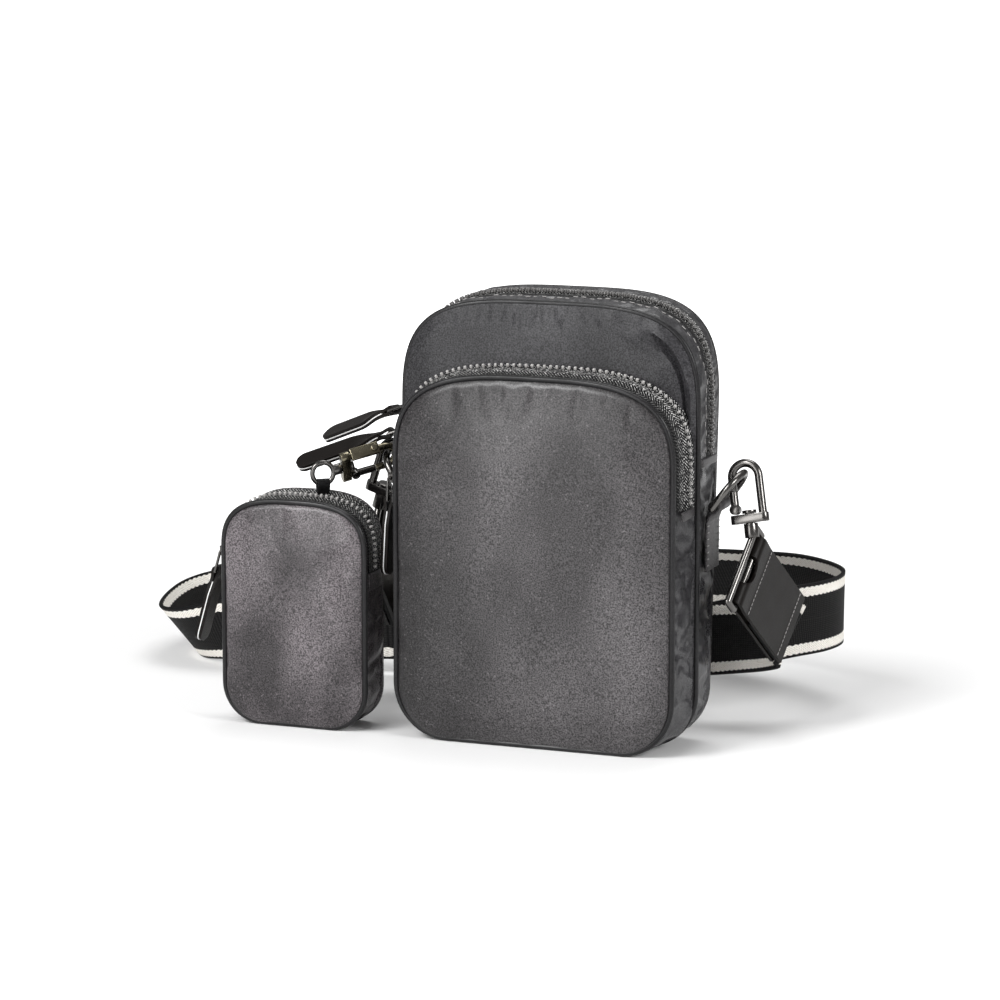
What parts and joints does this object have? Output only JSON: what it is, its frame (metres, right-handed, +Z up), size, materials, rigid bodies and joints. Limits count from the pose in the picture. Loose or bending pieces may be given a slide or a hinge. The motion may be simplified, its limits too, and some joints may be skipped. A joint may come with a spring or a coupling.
{
  "type": "crossbody phone pouch",
  "caption": "Upright crossbody phone pouch with a zipped front pocket, a small zip pouch on a clasp and a striped webbing strap on swivel hooks.",
  "frame": {"origin": "middle of the main pouch's base, on the floor", "axes": "+X to the right seen from the front, +Y from the front to the back, +Z up; the front faces -Y"},
  "size_m": [0.3205, 0.1946, 0.1837],
  "materials": {
    "nylon": "satin woven nylon",
    "mini_nylon": "satin woven nylon, slightly warmer",
    "piping": "rolled nylon edge",
    "zip_tape": "herringbone tape",
    "zip_teeth": "coil teeth",
    "lining": "thin lining cloth",
    "gunmetal": "polished gunmetal plating",
    "spring_steel": "plain spring steel",
    "leather": "smooth semi-gloss leather",
    "webbing": "ribbed webbing with two cream stripes"
  },
  "bodies": {
    "pouch": {"main_front_panel": "nylon", "main_piping": "piping", "main_back_panel": "nylon", "main_gusset": "nylon", "main_zip_gusset_front": "nylon", "main_zip_gusset_rear": "nylon", "main_zip_tape": "zip_tape", "main_zip_teeth": "zip_teeth", "main_zip_end_tabs": "piping", "main_lining": "lining", "inner_divider": "lining", "pocket_panel": "nylon", "pocket_piping": "piping", "pocket_gusset": "nylon", "pocket_zip_tape": "zip_tape", "pocket_zip_teeth": "zip_teeth", "pocket_zip_end_tabs": "piping", "pocket_lining": "lining", "side_tab_right": "piping", "side_tab_left": "piping", "hook_base_ring_right": "gunmetal", "hook_base_ring_left": "gunmetal", "strap_tab_right": "leather", "strap_tab_left": "leather", "strap_webbing": "webbing"},
    "ring_right": {"d_ring_right": "gunmetal"},
    "ring_left": {"d_ring_left": "gunmetal"},
    "hook_right": {"hook_body_right": "gunmetal", "hook_gate_spring_right": "spring_steel"},
    "hook_left": {"hook_body_left": "gunmetal", "hook_gate_spring_left": "spring_steel"},
    "gate_right": {"hook_gate_right": "gunmetal"},
    "gate_left": {"hook_gate_left": "gunmetal"},
    "upper_slider": {"main_slider_upper": "gunmetal"},
    "upper_pull": {"main_pull_link_upper": "gunmetal", "main_pull_upper": "leather"},
    "lower_slider": {"main_slider_lower": "gunmetal"},
    "lower_pull": {"main_pull_link_lower": "gunmetal", "main_pull_lower": "leather"},
    "front_pocket_slider": {"pocket_slider": "gunmetal"},
    "front_pocket_pull": {"pocket_pull_link": "gunmetal", "pocket_pull": "leather"},
    "clasp": {"mini_clasp_body": "gunmetal", "mini_clasp_spring": "spring_steel"},
    "clasp_gate": {"mini_clasp_gate": "gunmetal"},
    "clasp_eye": {"mini_clasp_eye": "gunmetal"},
    "mini_pouch": {"mini_front_panel": "mini_nylon", "mini_piping": "piping", "mini_back_panel": "nylon", "mini_gusset": "nylon", "mini_zip_tape": "zip_tape", "mini_zip_teeth": "zip_teeth", "mini_zip_end_tabs": "piping", "mini_lining": "lining", "mini_loop_tab": "piping"},
    "mini_zip_slider": {"mini_slider": "gunmetal"},
    "mini_zip_pull": {"mini_pull_link": "gunmetal", "mini_pull": "leather"}
  },
  "joints": [
    {"name": "ring_right_tilt", "type": "hinge", "parent": "pouch", "child": "ring_right", "pos_m": [0.067, 0.017, 0.0985], "axis": [0, 1, 0], "range_deg": [0, 8]},
    {"name": "ring_left_tilt", "type": "hinge", "parent": "pouch", "child": "ring_left", "pos_m": [-0.067, 0.017, 0.0985], "axis": [0, -1, 0], "range_deg": [0, 5]},
    {"name": "hook_right_swivel", "type": "hinge", "parent": "pouch", "child": "hook_right", "pos_m": [0.0761, 0.0215, 0.11103], "axis": [-0.1877, 0.1805, 0.9655], "range_deg": [-8, 8]},
    {"name": "hook_left_swivel", "type": "hinge", "parent": "pouch", "child": "hook_left", "pos_m": [-0.0761, 0.0215, 0.11103], "axis": [-0.3315, 0.1167, -0.9362], "range_deg": [-6, 6]},
    {"name": "hook_right_gate", "type": "hinge", "parent": "hook_right", "child": "gate_right", "pos_m": [0.07315, 0.01895, 0.09633], "axis": [0.0344, 0.9836, -0.1772], "range_deg": [0, 22], "stiffness_Nm_per_rad": 0.004},
    {"name": "hook_left_gate", "type": "hinge", "parent": "hook_left", "child": "gate_left", "pos_m": [-0.0754, 0.02314, 0.09593], "axis": [-0.0389, -0.9932, -0.11], "range_deg": [0, 22], "stiffness_Nm_per_rad": 0.004},
    {"name": "clasp_gate_press", "type": "hinge", "parent": "clasp", "child": "clasp_gate", "pos_m": [-0.08779, 0.00661, 0.10352], "axis": [0.6222, -0.6129, -0.4871], "range_deg": [0, 20], "stiffness_Nm_per_rad": 0.004},
    {"name": "upper_zip_slide", "type": "slide", "parent": "pouch", "child": "upper_slider", "axis": [0, 0.0441, 0.999], "range_m": [0, 0.012]},
    {"name": "lower_zip_slide", "type": "slide", "parent": "pouch", "child": "lower_slider", "axis": [0, 0.0441, 0.999], "range_m": [-0.0006, 0.0006]},
    {"name": "pocket_zip_slide", "type": "slide", "parent": "pouch", "child": "front_pocket_slider", "axis": [0, 0, 1], "range_m": [0, 0.006]},
    {"name": "mini_zip_slide", "type": "slide", "parent": "mini_pouch", "child": "mini_zip_slider", "axis": [0, 0, 1], "range_m": [0, 0.003]},
    {"name": "upper_pull_swing", "type": "hinge", "parent": "upper_slider", "child": "upper_pull", "pos_m": [-0.06792, 0.01745, 0.132], "axis": [0.342, 0.9397, 0], "range_deg": [-2, 70]},
    {"name": "lower_pull_swing", "type": "hinge", "parent": "lower_slider", "child": "lower_pull", "pos_m": [-0.06792, 0.01745, 0.123], "axis": [-0.1908, 0.9816, 0], "range_deg": [-1, 6]},
    {"name": "pocket_pull_swing", "type": "hinge", "parent": "front_pocket_slider", "child": "front_pocket_pull", "pos_m": [-0.06652, -0.0056, 0.105], "axis": [0, 1, 0], "range_deg": [-2, 1]},
    {"name": "mini_pull_swing", "type": "hinge", "parent": "mini_zip_slider", "child": "mini_zip_pull", "pos_m": [-0.14092, -0.00906, 0.0703], "axis": [0, 1, 0], "range_deg": [-10, 60]},
    {"name": "clasp_turn", "type": "hinge", "parent": "pouch", "child": "clasp", "pos_m": [-0.0761, 0.0125, 0.11103], "axis": [0, 0, -1], "range_deg": [-1, 0.5]},
    {"name": "clasp_swivel", "type": "hinge", "parent": "clasp", "child": "clasp_eye", "pos_m": [-0.0976, -0.00429, 0.1047], "axis": [0.7676, 0.5997, 0.226], "range_deg": [-0.5, 0.8]},
    {"name": "mini_swing", "type": "hinge", "parent": "clasp_eye", "child": "mini_pouch", "pos_m": [-0.0976, -0.00429, 0.1002], "axis": [0.788, 0.6157, 0], "range_deg": [0, 2]}
  ]
}
